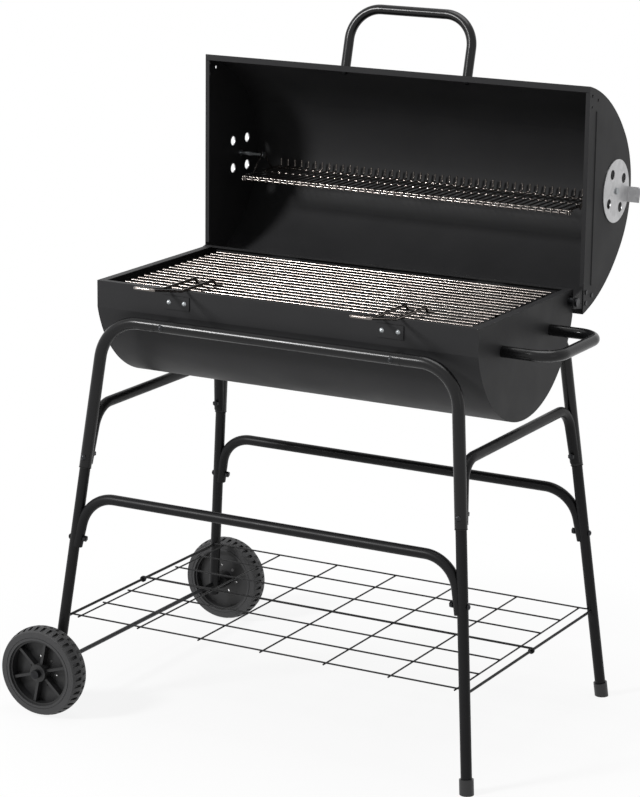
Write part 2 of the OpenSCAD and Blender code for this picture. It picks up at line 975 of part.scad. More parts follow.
// A handle tube with a threaded plug welded into each foot.
module plugged_tube(points, radius, d) {
  difference() {
    bent_bar(points, radius, d, 0);
    bent_bar(longer(points, -plug_l), radius, d - 2 * tube_wall, 0);
  }
}
module side_handle() {
  color("#222223")
    in_frame()
    difference() {
      plugged_tube(side_handle_feet, side_handle_bend, side_handle_d);
      side_handle_bolt_holes();
    }
}
module side_handle_bolts() {
  color("#4a4a4c")
    in_frame()
    both_faces()
      bolt(side_handle_bolt, bolt_d, bolt_head_d, bolt_head_h);
}

// ---- grate supports in the firebox ----

module bracket_at() {
  four_corners()
    translate([grate_handle_x, -barrel_half_depth, bracket_z])
      children();
}
module bracket_bolt_holes() {
  bracket_at()
    both_sides()
      translate([bracket_bolt_w / 2, 0, 0])
        across_y(bracket_bolt_d + 2 * bolt_gap, 8 * bracket_t);
}
module grate_brackets() {
  ledge_l = 26;
  rise = ledge_z - bracket_z;
  color("#4b4c4e")
    in_frame()
    difference() {
      bracket_at() {
        translate([-bracket_w / 2, sheet_t, -bracket_h / 2])
          cube([bracket_w, bracket_t, bracket_h / 2 + rise]);
        translate([-bracket_w / 2, sheet_t, rise - bracket_t])
          cube([bracket_w, ledge_l, bracket_t]);
      }
      bracket_bolt_holes();
    }
}
module bracket_plates() {
  color("#1c1c1d")
    in_frame()
    difference() {
      bracket_at()
        translate([-bracket_w / 2, -bracket_t, -bracket_h / 2])
          cube([bracket_w, bracket_t, bracket_h]);
      bracket_bolt_holes();
    }
}
module bracket_bolts() {
  shank = bracket_t + sheet_t + bracket_t;
  color("#737578")
    in_frame()
    bracket_at()
      both_sides()
        translate([bracket_bolt_w / 2, -bracket_t - hair, 0]) {
          rotate([-90, 0, 0])
            cylinder(d = bracket_bolt_d, h = shank + bracket_t);
          pan_head([[0, 0, 0], [0, shank, 0]], bracket_head_d, bracket_bolt_d / 2);
        }
}
coal_lug_w = 30;
coal_lug_t = 4;
coal_ledge_z = coal_z - coal_wire_d / 2 - seat_gap;
module coal_lugs() {
  color("#38383a")
    in_frame()
    both_sides()
      both_faces()
        translate([grate_handle_x, 0, 0])
          along_x(coal_lug_w)
            intersection() {
              translate([0, rim_z])
                circle(r = barrel_r - sheet_t);
              translate([coal_half_depth - coal_lug_t, coal_ledge_z - coal_lug_t])
                square([barrel_half_depth, coal_lug_t]);
            }
}
module hinge_pins() {
  collar_d = 2 * hinge_pin_d;
  head_h = 4;
  inner_x = barrel_l / 2 - sheet_t - seat_gap - head_h;
  outer_x = arm_x + arm_t + seat_gap;
  color("#333335")
    in_frame()
    both_sides()
      translate([0, hinge_y, hinge_z])
        rotate([0, 90, 0]) {
          translate([0, 0, inner_x]) {
            cylinder(d = hinge_pin_d, h = outer_x + head_h - inner_x);
            cylinder(d = collar_d, h = head_h);
          }
          translate([0, 0, barrel_l / 2 + hair])
            cylinder(d = collar_d, h = arm_x - seat_gap - barrel_l / 2);
          translate([0, 0, outer_x])
            cylinder(d = collar_d, h = head_h);
        }
}

// ---- grates ----

module charcoal_grate() {
  bars = floor(coal_l / 2 / coal_pitch);
  rail_y_in = coal_half_depth - coal_lug_t - coal_wire_d;
  color("#4a4644")
    in_frame() {
    for (i = [-bars : bars])
      translate([i * coal_pitch, 0, coal_z])
        across_y(coal_wire_d, 2 * coal_half_depth);
    for (i = [-1 : 1])
      translate([0, i * rail_y_in, coal_z - coal_wire_d + weld_sink])
        across_x(coal_wire_d, coal_l);
  }
}
module cooking_grate() {
  color("#c9cbcc")
    in_frame() {
    for (i = [0 : grate_wires - 1])
      translate([0, i * grate_pitch - grate_reach, grate_z])
        across_x(grate_wire_d, grate_l);
    for (i = [-1.5 : 1.5])
      translate([i * cross_pitch - cross_shift, 0, grate_z - grate_wire_d + weld_sink])
        across_y(grate_wire_d, 2 * grate_reach + grate_wire_d);
  }
}
// Two loops of wire reach out over the front rim. Their hooks lie on the grate's wires.
module grate_handles() {
  over_z = rim_z + grate_handle_d / 2 + seat_gap;
  on_z = max(over_z, grate_z + (grate_wire_d + grate_handle_d) / 2 + hair);
  tip_z = rim_z + grate_handle_tip;
  elbow_y = -lid_half_depth - grate_handle_d;
  half_w = grate_handle_w / 2;
  drop_l = 9;
  handle_bend = 6;
  held_y = grate_pitch * floor(grate_handle_in / grate_pitch) + (grate_wire_d + grate_handle_d) / 2 + hair;
  color("#9a9c9d")
    in_frame()
    for (side = [-1, 1])
      translate([side * grate_handle_x, 0, 0]) {
        bent_bar([
          [-half_w, -held_y, grate_z],
          [-half_w, -held_y - drop_l, on_z],
          [-half_w, elbow_y, over_z],
          [-half_w, -grate_handle_out, tip_z],
          [half_w, -grate_handle_out, tip_z],
          [half_w, elbow_y, over_z],
          [half_w, -held_y - drop_l, on_z],
          [half_w, -held_y, grate_z]
        ], handle_bend, grate_handle_d);
      }
}

// ---- lid, drawn closed and then swung open about the hinge ----

module opened() {
  translate([0, hinge_y, hinge_z])
    rotate([-90, 0, 0])
      translate([0, -hinge_y, -hinge_z])
        children();
}
// The lid's outline is an arch of three arcs. The crown's arc meets each flank's arc smoothly.
crown = [0, lid_crown_rise];
foot_of_arch = [lid_half_depth, 0];
crown_to_foot = foot_of_arch - crown;
flank_along = (pow(lid_flank_r - lid_crown_r, 2) - pow(lid_flank_r, 2) + crown_to_foot * crown_to_foot)
  / (2 * norm(crown_to_foot));
flank_off = sqrt(pow(lid_flank_r - lid_crown_r, 2) - flank_along * flank_along);
flank_centre = crown + unit(crown_to_foot) * flank_along
  + [unit(crown_to_foot)[1], -unit(crown_to_foot)[0]] * flank_off;
meet_angle = atan2(crown[0] - flank_centre[0], crown[1] - flank_centre[1]);
// How far from the middle the flank is, at a height over the lid's rim.
function flank_at(rise, inset) =
  flank_centre[0] + sqrt(pow(lid_flank_r - inset, 2) - pow(rise - flank_centre[1], 2));

module lid_outline(inset) {
  far = 2 * lid_flank_r;
  translate([0, lid_rim_z])
    intersection() {
      translate([-lid_flank_r, 0])
        square([2 * lid_flank_r, lid_flank_r]);
      union() {
        translate(crown)
          circle(r = lid_crown_r - inset);
        difference() {
          intersection() {
            translate(flank_centre)
              circle(r = lid_flank_r - inset);
            mirror([1, 0])
              translate(flank_centre)
                circle(r = lid_flank_r - inset);
          }
          polygon([
            crown,
            crown + far * [sin(meet_angle), cos(meet_angle)],
            crown + far * [-sin(meet_angle), cos(meet_angle)]
          ]);
        }
      }
    }
}
lid_end_lip = 8;
arm_edge = 8;
hole_rise = 11;
hole_inset = 18;
hole_step = 20;
hole_step_up = 25;
end_hole_d = 6;
// The same three holes are punched at both ends of each lid end's straight edge.
function end_hole(i) = [
  lid_half_depth - hole_inset - (i == 1 ? hole_step / 2 : i == 2 ? hole_step : 0),
  lid_rim_z + hole_rise + (i == 1 ? hole_step_up : 0)
];
module end_holes() {
  for (i = [0 : 2])
    translate([lid_l / 2, end_hole(i)[0], end_hole(i)[1]])
      children();
}
module lid_skin() {
  color("#2d2d2f")
    in_frame()
    opened()
      difference() {
        union() {
          along_x(lid_l - 2 * sheet_t)
            difference() {
              lid_outline(0);
              lid_outline(sheet_t);
            }
          translate([-lid_l / 2 + sheet_t, -lid_half_depth + sheet_t / 2, lid_rim_z])
            cube([lid_l - 2 * sheet_t, lid_lip, sheet_t]);
        }
        lid_handle_bolt_holes();
      }
}
module lid_end() {
  bead_out = 1.5;
  bead_sink = bead_w / 2 - bead_out;
  difference() {
    union() {
      translate([lid_l / 2 - sheet_t / 2, 0, 0])
        along_x(sheet_t)
          lid_outline(0);
      translate([lid_l / 2 - lid_end_lip, -lid_half_depth + lid_lip + sheet_t, lid_rim_z])
        cube([lid_end_lip, lid_half_depth + hinge_y - lid_lip - 3 * arm_edge, sheet_t]);
      intersection() {
        translate([lid_l / 2 - bead_sink, 0, lid_rim_z + bead_rise])
          across_y(bead_w, bead_l);
        translate([lid_l / 2 - sheet_t / 2, -lid_half_depth, lid_rim_z])
          cube([bead_w, 2 * lid_half_depth, 2 * bead_rise]);
      }
    }
    both_faces()
      end_holes()
        across_x(end_hole_d, 4 * sheet_t);
    translate([lid_l / 2, 0, vent_z]) {
      across_x(vent_pin_d + 2 * bolt_gap, 4 * sheet_t);
      vent_holes();
    }
  }
}
module vent_holes() {
  for (i = [0 : 3])
    rotate([45 + 90 * i, 0, 0])
      translate([0, 0, vent_hole_r])
        across_x(vent_hole_d, 4 * sheet_t + 4 * vent_disc_t);
}
module lid_end_left() {
  color("#303033")
    in_frame()
    opened()
      mirror([1, 0, 0])
        lid_end();
}
module lid_end_right() {
  color("#303033")
    in_frame()
    opened()
      lid_end();
}

lid_foot_y = -flank_at(lid_handle_rise, 0);
handle_way = [0, -cos(lid_handle_tilt), sin(lid_handle_tilt)];
function lid_foot(side) = [side * lid_handle_w / 2, lid_foot_y, lid_rim_z + lid_handle_rise];
// The bolt's head stands off the curved skin by its own tilt.
lid_handle_bolt = [
  lid_foot(1) - handle_way * (sheet_t + bolt_head_d / 2 * tan(lid_handle_tilt)),
  lid_foot(1) + handle_way * (plug_l - nut_h - 3 * gap_through)
];
module lid_handle_bolt_holes() {
  both_sides()
    bolt_hole(lid_handle_bolt, bolt_d);
}
module lid_handle() {
  root = -plug_l;
  color("#2a2829")
    in_frame()
    opened()
      difference() {
        bent_bar([
          lid_foot(-1) + root * handle_way,
          lid_foot(-1) + lid_handle_reach * handle_way,
          lid_foot(1) + lid_handle_reach * handle_way,
          lid_foot(1) + root * handle_way
        ], lid_handle_bend, lid_handle_d, 0);
        bent_bar([
          lid_foot(-1) + plug_l * handle_way,
          lid_foot(-1) + lid_handle_reach * handle_way,
          lid_foot(1) + lid_handle_reach * handle_way,
          lid_foot(1) + plug_l * handle_way
        ], lid_handle_bend, lid_handle_d - 2 * tube_wall, 0);
        along_x(2 * lid_handle_w)
          lid_outline(-hair);
        lid_handle_bolt_holes();
      }
}
module lid_handle_bolts() {
  color("#4a4a4c")
    in_frame()
    opened()
      both_sides()
        bolt(lid_handle_bolt, bolt_d, bolt_head_d, bolt_head_h);
}
module hinge_arm() {
  difference() {
    translate([arm_x + arm_t / 2, 0, 0])
      along_x(arm_t)
        union() {
          translate([hinge_y, hinge_z])
            circle(r = arm_r);
          polygon([
            [hinge_y - arm_r, hinge_z],
            [hinge_y + arm_r, hinge_z],
            end_hole(0) + [arm_edge, -arm_edge],
            end_hole(1) + [arm_edge, arm_edge],
            end_hole(1) + [-arm_edge, arm_edge],
            end_hole(2) - [arm_edge, arm_edge]
          ]);
        }
    translate([lid_l / 2, hinge_y, hinge_z])
      across_x(hinge_pin_d + 2 * run_gap, lid_l);
    end_holes()
      across_x(end_hole_d, 4 * (arm_t + sheet_t));
  }
}
module hinge_arm_left() {
  color("#262628")
    in_frame()
    opened()
      mirror([1, 0, 0])
        hinge_arm();
}
module hinge_arm_right() {
  color("#262628")
    in_frame()
    opened()
      hinge_arm();
}
module hinge_arm_bolts() {
  small_d = end_hole_d - 2 * bolt_gap;
  color("#1d1d1f")
    in_frame()
    opened()
      both_sides()
        end_holes() {
          translate([hair, 0, 0])
            rotate([0, 90, 0])
              cylinder(d = small_head * small_d, h = small_d / 4);
          translate([-sheet_t - arm_t - small_d / 2, 0, 0])
            rotate([0, 90, 0])
              cylinder(d = small_d, h = sheet_t + arm_t + small_d / 2 + 2 * hair);
          translate([-sheet_t - arm_t - hair - small_d / 2, 0, 0])
            rotate([0, 90, 0])
              cylinder(d = small_nut * small_d, h = small_d / 2, $fn = 6);
        }
}

// ---- vents and rack ----

disc_x = lid_l / 2 + vent_gap;
rack_end_x = rack_l / 2 - rack_wire_d;
rack_eye_x = rack_end_x + rack_wire_d + hair;
module vent_disc(turned) {
  tab_r = vent_disc_d / 2 + vent_disc_t;
  opened()
    translate([0, 0, vent_z])
      rotate([-turned, 0, 0])
        difference() {
          union() {
            translate([disc_x, 0, 0])
              rotate([0, 90, 0])
                cylinder(d = vent_disc_d, h = vent_disc_t);
            translate([disc_x, -vent_tab_w / 2, vent_disc_d / 2 - vent_tab_w / 4])
              cube([vent_disc_t, vent_tab_w, vent_tab_w / 4 + vent_disc_t]);
            translate([disc_x, -vent_tab_w / 2, tab_r - vent_disc_t])
              cube([vent_tab_l, vent_tab_w, vent_disc_t]);
          }
          translate([disc_x, 0, 0]) {
            vent_holes();
            across_x(vent_pin_d + 2 * run_gap, 4 * vent_disc_t);
          }
        }
}
module vent_disc_left() {
  color("#b4b8ba")
    in_frame()
    mirror([1, 0, 0])
      vent_disc(0);
}
module vent_disc_right() {
  color("#b4b8ba")
    in_frame()
    vent_disc(vent_turn);
}
// Each pin holds its disc outside the lid and an end of the rack inside it.
module vent_pins() {
  head_h = 2.5;
  flange_h = 2;
  pin_in = rack_eye_x - rack_wire_d / 2 - seat_gap - flange_h;
  pin_out = disc_x + vent_disc_t + vent_gap;
  color("#8d9092")
    in_frame()
    opened()
      both_sides()
        translate([0, 0, vent_z])
          rotate([0, 90, 0]) {
            translate([0, 0, pin_in]) {
              cylinder(d = vent_pin_d, h = pin_out + head_h - pin_in);
              cylinder(d = 2 * vent_pin_d, h = flange_h);
            }
            translate([0, 0, lid_l / 2 - sheet_t - hair - flange_h])
              cylinder(d = 2 * vent_pin_d, h = flange_h);
            translate([0, 0, pin_out])
              cylinder(d = 2 * vent_pin_d, h = head_h);
          }
}

// The rack hangs level from its pins, so it is drawn where the open lid holds it.
rack_pin_y = hinge_y + vent_z - hinge_z;
rack_pin_z = hinge_z + hinge_y;
rack_wires_n = floor((rack_l - 2 * rack_wire_d) / rack_pitch);
rack_lip = 8;
rack_rail_z = -rack_drop - rack_wire_d - hair;
module at_rack_pin() {
  translate([0, rack_pin_y, rack_pin_z])
    children();
}
module rack_wires() {
  color("#d0d2d3")
    in_frame()
      at_rack_pin()
        for (i = [0 : rack_wires_n])
          translate([(i - rack_wires_n / 2) * rack_pitch, 0, 0])
            bent_bar([
              [0, -rack_front, -rack_drop - rack_lip],
              [0, -rack_front, -rack_drop],
              [0, rack_back, -rack_drop],
              [0, rack_back, -rack_drop + rack_comb]
            ], rack_wire_d, rack_wire_d, 0);
}
// Four rails carry the wires, and a bent wire near each end joins the rails.
module rack_rails() {
  lip_y = -rack_front + rack_wire_d + hair;
  front_y = lip_y + 2 * rack_wire_d;
  back_y = rack_back - 2 * rack_wire_d;
  lip_z = -rack_drop - rack_lip + rack_wire_d / 2;
  end_y = lip_y - rack_wire_d + weld_sink;
  end_z = rack_rail_z + rack_wire_d - weld_sink;
  past = rack_wire_d / 2 + gap_through;
  color("#d0d2d3")
    in_frame()
      at_rack_pin() {
        for (y = [front_y, 0, back_y])
          translate([0, y, rack_rail_z])
            across_x(rack_wire_d, rack_l);
        translate([0, lip_y, lip_z])
          across_x(rack_wire_d, rack_l);
        both_sides()
          bent_bar([
            [rack_end_x, end_y, lip_z - past],
            [rack_end_x, end_y, end_z],
            [rack_end_x, back_y + past, end_z]
          ], rack_wire_d, rack_wire_d, 0);
      }
}
// A wire bent over each vent pin, with its two legs welded beside the rack's end wire.
module rack_hangers() {
  over_r = vent_pin_d / 2 + run_gap + rack_wire_d / 2;
  foot_y = 38;
  foot_z = rack_rail_z - rack_wire_d / 2;
  spread = atan2(foot_y, -foot_z) - asin(over_r / norm([foot_y, foot_z]));
  color("#d0d2d3")
    in_frame()
    at_rack_pin()
      both_sides()
        bent_bar([
          [rack_eye_x, -foot_y, foot_z],
          [rack_eye_x, 0, over_r / sin(spread)],
          [rack_eye_x, foot_y, foot_z]
        ], over_r, rack_wire_d);
}

firebox_shell();
firebox_end_left();
firebox_end_right();
front_rail();
rear_rail();
upper_leg_front_left();
upper_leg_front_right();
upper_leg_rear_left();
upper_leg_rear_right();
lower_leg_front_left();
lower_leg_front_right();
lower_leg_rear_left();
lower_leg_rear_right();
front_brace();
rear_brace();
left_brace();
right_brace();
foot_caps();
axle();
axle_nuts();
axle_spacers();
frame_bolts();
frame_nuts();
rail_spacers();
shelf_rod_left();
shelf_rod_right();
wire_shelf();
side_handle();
side_handle_bolts();
grate_brackets();
bracket_plates();
bracket_bolts();
coal_lugs();
hinge_pins();
wheel_front_tyre();
wheel_front_hub();
wheel_rear_tyre();
wheel_rear_hub();
charcoal_grate();
cooking_grate();
grate_handles();
lid_skin();
lid_end_left();
lid_end_right();
lid_handle();
lid_handle_bolts();
hinge_arm_left();
hinge_arm_right();
hinge_arm_bolts();
vent_pins();
vent_disc_left();
vent_disc_right();
rack_rails();
rack_wires();
rack_hangers();
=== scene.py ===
import math

import bpy
from mathutils import Matrix, Vector


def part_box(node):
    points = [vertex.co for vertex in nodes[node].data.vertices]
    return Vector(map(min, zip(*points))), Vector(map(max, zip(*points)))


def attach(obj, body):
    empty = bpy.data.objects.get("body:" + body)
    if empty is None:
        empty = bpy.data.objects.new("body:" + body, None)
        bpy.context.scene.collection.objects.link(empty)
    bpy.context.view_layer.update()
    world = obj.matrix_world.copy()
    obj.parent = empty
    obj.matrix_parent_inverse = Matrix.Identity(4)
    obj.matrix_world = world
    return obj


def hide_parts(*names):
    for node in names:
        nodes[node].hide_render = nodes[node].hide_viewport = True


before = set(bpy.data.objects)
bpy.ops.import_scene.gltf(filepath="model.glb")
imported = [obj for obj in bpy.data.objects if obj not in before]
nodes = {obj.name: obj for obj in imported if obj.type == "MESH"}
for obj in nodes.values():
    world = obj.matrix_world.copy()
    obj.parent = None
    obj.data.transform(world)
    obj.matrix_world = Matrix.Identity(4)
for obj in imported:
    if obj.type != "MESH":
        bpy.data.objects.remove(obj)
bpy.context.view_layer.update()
scene = bpy.context.scene
print("frame loaded:", len(nodes), "nodes")

millimetre = 0.001
fireboxLow, fireboxHigh = (Vector(corner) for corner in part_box("firebox_shell"))
fireboxMiddle = (fireboxLow + fireboxHigh) / 2
rimMiddle = Vector((fireboxMiddle.x, fireboxMiddle.y, fireboxHigh.z))


def linear(hexColour):
    # sRGB hex to the linear colour that shaders and lamps take
    channels = [int(hexColour[i:i + 2], 16) / 255 for i in (1, 3, 5)]
    return [c / 12.92 if c <= 0.04045 else ((c + 0.055) / 1.055) ** 2.4 for c in channels] + [1.0]


def perMetre(sizeMm):
    # noise scale whose features are about this many millimetres apart
    return 1 / (sizeMm * millimetre)


def fillInputs(tree, node, inputs):
    # a socket is linked, and anything else is set as the input's own value
    for socket, value in inputs.items():
        if isinstance(value, bpy.types.NodeSocket):
            tree.links.new(value, node.inputs[socket])
        else:
            node.inputs[socket].default_value = value


def addNode(tree, kind, settings=None, inputs=None):
    node = tree.nodes.new(kind)
    for name, value in (settings or {}).items():
        setattr(node, name, value)
    fillInputs(tree, node, inputs or {})
    return node


def newMaterial(name):
    material = bpy.data.materials.new(name)
    material.use_nodes = True
    tree = material.node_tree
    tree.nodes.clear()
    shader = addNode(tree, "ShaderNodeBsdfPrincipled")
    addNode(tree, "ShaderNodeOutputMaterial", inputs={"Surface": shader.outputs["BSDF"]})
    place = addNode(tree, "ShaderNodeTexCoord").outputs["Object"]
    return material, tree, shader, place


# Silicone heat enamel, sprayed on sheet steel and baked: an even satin black whose fine spray
# texture breaks up the shine, with slightly duller patches where the coat is thin.
heatEnamelLook = {
    "colour": "#272728",
    "thinColour": "#2d2d2e",
    "roughness": (0.46, 0.56),
    "patchMm": 90,
    "sprayMm": 3.2,      # the real spray grain is near 1 mm, too fine to show here
    "sprayHeightMm": 0.02,
    "shine": 0.14,
}
# Polyester powder coat, cured on steel tube: a deep gloss black with a soft orange peel.
glossPowderLook = {
    "colour": "#111112",
    "thinColour": "#141415",
    "roughness": (0.2, 0.27),
    "patchMm": 60,
    "sprayMm": 4.0,
    "sprayHeightMm": 0.005,
    "shine": 0.26,
}
# The same powder with a satin grade, on the lower frame and the shelf wire: less shine.
satinPowderLook = {
    "colour": "#161617",
    "thinColour": "#1b1b1c",
    "roughness": (0.32, 0.42),
    "patchMm": 50,
    "sprayMm": 3.5,
    "sprayHeightMm": 0.008,
    "shine": 0.13,
}


def sprayedPaint(name, look):
    material, tree, shader, place = newMaterial(name)
    patches = addNode(tree, "ShaderNodeTexNoise", inputs={
        "Vector": place, "Scale": perMetre(look["patchMm"]), "Detail": 3.0, "Roughness": 0.55})
    spray = addNode(tree, "ShaderNodeTexNoise", inputs={
        "Vector": place, "Scale": perMetre(look["sprayMm"]), "Detail": 2.0, "Roughness": 0.6})
    colour = addNode(tree, "ShaderNodeMix", {"data_type": "RGBA"}, {
        "Factor": patches.outputs["Fac"], "A": linear(look["colour"]), "B": linear(look["thinColour"])})
    low, high = look["roughness"]
    rough = addNode(tree, "ShaderNodeMapRange", inputs={
        "Value": patches.outputs["Fac"], "From Min": 0.3, "From Max": 0.7, "To Min": low, "To Max": high})
    bump = addNode(tree, "ShaderNodeBump", inputs={
        "Height": spray.outputs["Fac"], "Strength": 1.0, "Distance": look["sprayHeightMm"] * millimetre})
    fillInputs(tree, shader, {
        "Base Color": colour.outputs["Result"], "Roughness": rough.outputs["Result"],
        "Normal": bump.outputs["Normal"], "IOR": 1.5, "Specular IOR Level": look["shine"]})
    return material


# Bright nickel-chrome plate on drawn wire: a hard mirror shine, dulled a little by heat and grease.
chromePlateLook = {"colour": "#88837f", "dullColour": "#756e6a", "roughness": (0.12, 0.28), "patchMm": 45}
# Bright zinc plate on small steel parts: a pale grey metal with a soft cloudy shine.
brightZincLook = {"colour": "#a9adaf", "dullColour": "#8b8e90", "roughness": (0.28, 0.42), "patchMm": 8}
# Black zinc plate on bolts, nuts and pins: dark metal with a greyish shine on the edges.
blackZincLook = {"colour": "#38393b", "dullColour": "#2a2a2b", "roughness": (0.34, 0.46), "patchMm": 10}
# Hot-rolled bar after a fire: brown-black mill scale with almost no shine.
scaledSteelLook = {"colour": "#4f4844", "dullColour": "#332f2d", "roughness": (0.55, 0.75), "patchMm": 14}


def platedMetal(name, look):
    material, tree, shader, place = newMaterial(name)
    clouds = addNode(tree, "ShaderNodeTexNoise", inputs={
        "Vector": place, "Scale": perMetre(look["patchMm"]), "Detail": 4.0, "Roughness": 0.6})
    share = addNode(tree, "ShaderNodeMapRange", inputs={
        "Value": clouds.outputs["Fac"], "From Min": 0.35, "From Max": 0.7})
    colour = addNode(tree, "ShaderNodeMix", {"data_type": "RGBA"}, {
        "Factor": share.outputs["Result"], "A": linear(look["colour"]), "B": linear(look["dullColour"])})
    low, high = look["roughness"]
    rough = addNode(tree, "ShaderNodeMapRange", inputs={
        "Value": share.outputs["Result"], "To Min": low, "To Max": high})
    fillInputs(tree, shader, {
        "Base Color": colour.outputs["Result"], "Metallic": 1.0, "Roughness": rough.outputs["Result"]})
    return material


# Hot-dip galvanised sheet: pale grey zinc with crystal facets of slightly different greys.
galvanisedLook = {"light": "#bfbfc0", "dark": "#b2b2b3", "spangleMm": 9, "roughness": (0.38, 0.46)}


def galvanisedSheet(name, look):
    material, tree, shader, place = newMaterial(name)
    warp = addNode(tree, "ShaderNodeTexNoise", inputs={
        "Vector": place, "Scale": perMetre(look["spangleMm"]), "Detail": 2.0})
    moved = addNode(tree, "ShaderNodeVectorMath", {"operation": "MULTIPLY_ADD"}, {
        0: warp.outputs["Color"], 1: [0.35 * look["spangleMm"] * millimetre] * 3, 2: place})
    crystals = addNode(tree, "ShaderNodeTexVoronoi", inputs={
        "Vector": moved.outputs["Vector"], "Scale": perMetre(look["spangleMm"])})
    tone = addNode(tree, "ShaderNodeSeparateColor", inputs={"Color": crystals.outputs["Color"]})
    colour = addNode(tree, "ShaderNodeMix", {"data_type": "RGBA"}, {
        "Factor": tone.outputs["Red"], "A": linear(look["light"]), "B": linear(look["dark"])})
    low, high = look["roughness"]
    rough = addNode(tree, "ShaderNodeMapRange", inputs={
        "Value": tone.outputs["Green"], "To Min": low, "To Max": high})
    fillInputs(tree, shader, {
        "Base Color": colour.outputs["Result"], "Metallic": 1.0, "Roughness": rough.outputs["Result"]})
    return material


# Polypropylene, injection moulded: soft satin black with a fine spark-eroded grain.
wheelPlasticLook = {"colour": "#1a1a1b", "roughness": (0.42, 0.52), "grainMm": 2.2, "grainHeightMm": 0.02}
# The tread's harder, duller grain.
treadPlasticLook = {"colour": "#2f2f30", "roughness": (0.52, 0.64), "grainMm": 2.6, "grainHeightMm": 0.04}
# Low-density polyethylene of the foot caps and sleeves: slightly waxy.
capPlasticLook = {"colour": "#171718", "roughness": (0.38, 0.46), "grainMm": 3.0, "grainHeightMm": 0.01}


def mouldedPlastic(name, look):
    material, tree, shader, place = newMaterial(name)
    grain = addNode(tree, "ShaderNodeTexNoise", inputs={
        "Vector": place, "Scale": perMetre(look["grainMm"]), "Detail": 3.0, "Roughness": 0.65})
    low, high = look["roughness"]
    rough = addNode(tree, "ShaderNodeMapRange", inputs={
        "Value": grain.outputs["Fac"], "From Min": 0.3, "From Max": 0.7, "To Min": low, "To Max": high})
    bump = addNode(tree, "ShaderNodeBump", inputs={
        "Height": grain.outputs["Fac"], "Strength": 1.0, "Distance": look["grainHeightMm"] * millimetre})
    fillInputs(tree, shader, {
        "Base Color": linear(look["colour"]), "Roughness": rough.outputs["Result"],
        "Normal": bump.outputs["Normal"], "IOR": 1.49})
    return material


# Painted shade in the crack between two tubes: near-black, with no shine at all.
jointShadowLook = {"colour": "#060606", "roughness": (0.8, 0.9), "grainMm": 3.0, "grainHeightMm": 0.005}

finishes = {
    "heatEnamel": sprayedPaint("heatEnamel", heatEnamelLook),
    "glossPowder": sprayedPaint("glossPowder", glossPowderLook),
    "satinPowder": sprayedPaint("satinPowder", satinPowderLook),
    "chromePlate": platedMetal("chromePlate", chromePlateLook),
    "brightZinc": platedMetal("brightZinc", brightZincLook),
    "blackZinc": platedMetal("blackZinc", blackZincLook),
    "scaledSteel": platedMetal("scaledSteel", scaledSteelLook),
    "galvanisedSheet": galvanisedSheet("galvanisedSheet", galvanisedLook),
    "wheelPlastic": mouldedPlastic("wheelPlastic", wheelPlasticLook),
    "treadPlastic": mouldedPlastic("treadPlastic", treadPlasticLook),
    "capPlastic": mouldedPlastic("capPlastic", capPlasticLook),
    "jointShadow": mouldedPlastic("jointShadow", jointShadowLook),
}
finishOfNode = {
    "heatEnamel": ["firebox_shell", "firebox_end_left", "firebox_end_right", "lid_skin", "lid_end_left",
                   "lid_end_right", "hinge_arm_left", "hinge_arm_right", "bracket_plates", "coal_lugs"],
    "glossPowder": ["front_rail", "rear_rail", "upper_leg_front_left", "upper_leg_front_right",
                    "upper_leg_rear_left", "upper_leg_rear_right", "side_handle", "lid_handle"],
    "satinPowder": ["lower_leg_front_left", "lower_leg_front_right", "lower_leg_rear_left",
                    "lower_leg_rear_right", "front_brace", "rear_brace", "left_brace", "right_brace",
                    "shelf_rod_left", "shelf_rod_right", "wire_shelf"],
    "blackZinc": ["axle", "axle_nuts", "frame_bolts", "frame_nuts", "side_handle_bolts", "lid_handle_bolts",
                  "hinge_pins", "hinge_arm_bolts"],
    "capPlastic": ["foot_caps", "rail_spacers", "axle_spacers"],
    "wheelPlastic": ["wheel_front_hub", "wheel_rear_hub"],
    "treadPlastic": ["wheel_front_tyre", "wheel_rear_tyre"],
    "brightZinc": ["grate_brackets", "bracket_bolts", "vent_pins"],
    "galvanisedSheet": ["vent_disc_left", "vent_disc_right"],
    "chromePlate": ["cooking_grate", "grate_handles", "rack_rails", "rack_wires", "rack_hangers"],
    "scaledSteel": ["charcoal_grate"],
}
for finishName, nodeNames in finishOfNode.items():
    for nodeName in nodeNames:
        for materialSlot in nodes[nodeName].material_slots:
            materialSlot.material = finishes[finishName]
print("finishes on", sum(len(names) for names in finishOfNode.values()), "nodes")


def addPiece(name, mesh, body, finishName):
    piece = bpy.data.objects.new(name, mesh)
    scene.collection.objects.link(piece)
    mesh.materials.clear()
    mesh.materials.append(finishes[finishName])
    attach(piece, body)
    return piece


def smoothed(mesh, sharpFrom):
    # edges that turn by more than sharpFrom degrees stay crisp
    mesh.polygons.foreach_set("use_smooth", [True] * len(mesh.polygons))
    mesh.set_sharp_from_angle(angle=math.radians(sharpFrom))
    return mesh


# The legs are straight below their bends, so one line through each lower leg serves them. The
# lower tube slides up into the upper one, so it is thinner.
legTube = {"upperMm": 22, "lowerMm": 19.4, "tiltMm": 1.5}


def legLine(node, look):
    low, high = (Vector(corner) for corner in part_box(node))
    out = [1 if low.x + high.x > 2 * rimMiddle.x else -1, 1 if low.y + high.y > 2 * rimMiddle.y else -1]
    radius = look["lowerMm"] / 2 * millimetre
    tilt = look["tiltMm"] * millimetre
    foot = [(high if side > 0 else low)[axis] - side * radius for axis, side in enumerate(out)]
    neck = [(low if side > 0 else high)[axis] + side * radius for axis, side in enumerate(out)]
    return Vector((*foot, low.z + tilt)), Vector((*neck, high.z - tilt))


def onLeg(line, height):
    foot, neck = line
    return foot + (neck - foot) * ((height - foot.z) / (neck.z - foot.z))


